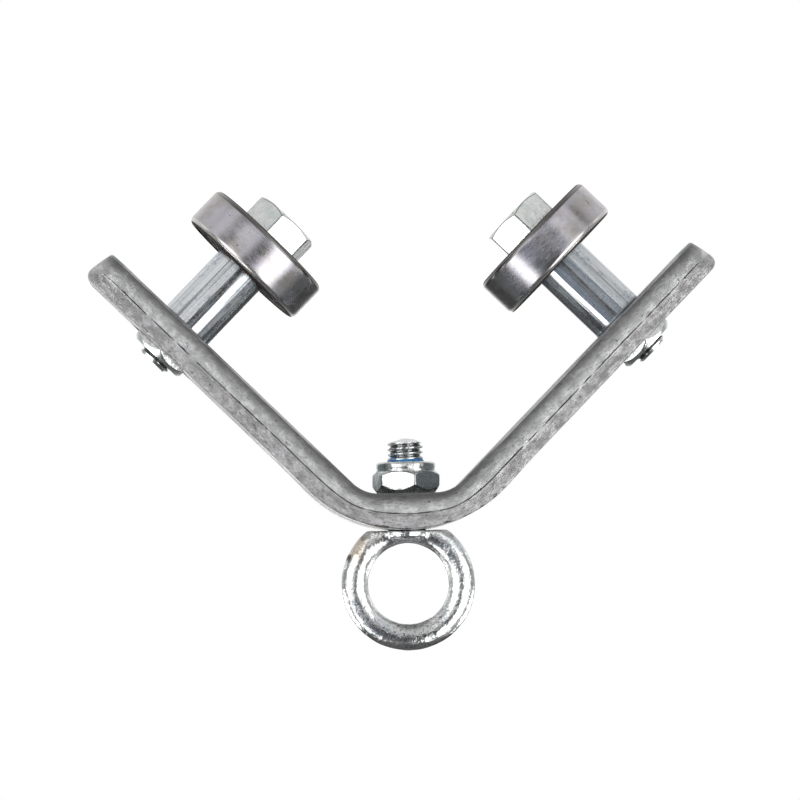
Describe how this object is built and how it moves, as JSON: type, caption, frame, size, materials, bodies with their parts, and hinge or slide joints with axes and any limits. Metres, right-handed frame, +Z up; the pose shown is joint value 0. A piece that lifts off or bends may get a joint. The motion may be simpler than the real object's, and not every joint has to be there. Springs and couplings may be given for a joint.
{
  "type": "zip line trolley",
  "caption": "V-shaped flat bar trolley with a ball bearing wheel on each arm that rolls on a rail's upper flanks, and a swivelling eye bolt below to hang a load from.",
  "frame": {"origin": "centre of the eye bolt's hole, where the load hangs; the swivel axis is the Z axis", "axes": "+X across the V towards the right-hand wheel, +Y along the rail (the eye's own axis), +Z up towards the wheels"},
  "size_m": [0.1758, 0.04, 0.1299],
  "materials": {
    "bar_steel": "dull rolled steel bar with rough sheared edge and scale marks",
    "zinc_plate": "bright bluish zinc plating",
    "forged_zinc": "rough forging under bright zinc plating",
    "bearing_steel": "ground bearing steel, darker at the rims",
    "ball_steel": "polished steel balls",
    "shield_steel": "pressed steel sheet",
    "nylon": "blue nylon locking ring"
  },
  "bodies": {
    "frame": {"bracket": "bar_steel", "left_axle_bolt": "zinc_plate", "left_sleeve": "zinc_plate", "left_axle_nut": "zinc_plate", "left_bearing_inner_ring": "bearing_steel", "right_axle_bolt": "zinc_plate", "right_sleeve": "zinc_plate", "right_axle_nut": "zinc_plate", "right_bearing_inner_ring": "bearing_steel"},
    "left_wheel": {"left_bearing_outer_ring": "bearing_steel", "left_bearing_shield_inboard": "shield_steel", "left_bearing_shield_outboard": "shield_steel"},
    "left_cage": {"left_bearing_balls": "ball_steel", "left_bearing_cage_inboard": "shield_steel", "left_bearing_cage_outboard": "shield_steel", "left_bearing_cage_rivets": "shield_steel"},
    "right_wheel": {"right_bearing_outer_ring": "bearing_steel", "right_bearing_shield_inboard": "shield_steel", "right_bearing_shield_outboard": "shield_steel"},
    "right_cage": {"right_bearing_balls": "ball_steel", "right_bearing_cage_inboard": "shield_steel", "right_bearing_cage_outboard": "shield_steel", "right_bearing_cage_rivets": "shield_steel"},
    "swivel_eye": {"eye_bolt": "forged_zinc", "swivel_nut": "zinc_plate", "swivel_nut_insert": "nylon"}
  },
  "joints": [
    {"name": "left_wheel_spin", "type": "hinge", "parent": "frame", "child": "left_wheel", "pos_m": [-0.04074, 0, 0.09324], "axis": [0.7071, 0, 0.7071], "continuous": true},
    {"name": "left_cage_spin", "type": "hinge", "parent": "frame", "child": "left_cage", "pos_m": [-0.04074, 0, 0.09324], "axis": [0.7071, 0, 0.7071], "continuous": true},
    {"name": "right_wheel_spin", "type": "hinge", "parent": "frame", "child": "right_wheel", "pos_m": [0.04074, 0, 0.09324], "axis": [-0.7071, 0, 0.7071], "continuous": true},
    {"name": "right_cage_spin", "type": "hinge", "parent": "frame", "child": "right_cage", "pos_m": [0.04074, 0, 0.09324], "axis": [-0.7071, 0, 0.7071], "continuous": true},
    {"name": "eye_swivel", "type": "hinge", "parent": "frame", "child": "swivel_eye", "pos_m": [0, 0, 0.015], "axis": [0, 0, 1], "continuous": true}
  ],
  "couplings": [
    {"joint": "left_cage_spin", "follows": "left_wheel_spin", "ratio": 0.61837},
    {"joint": "right_cage_spin", "follows": "right_wheel_spin", "ratio": 0.61837}
  ]
}
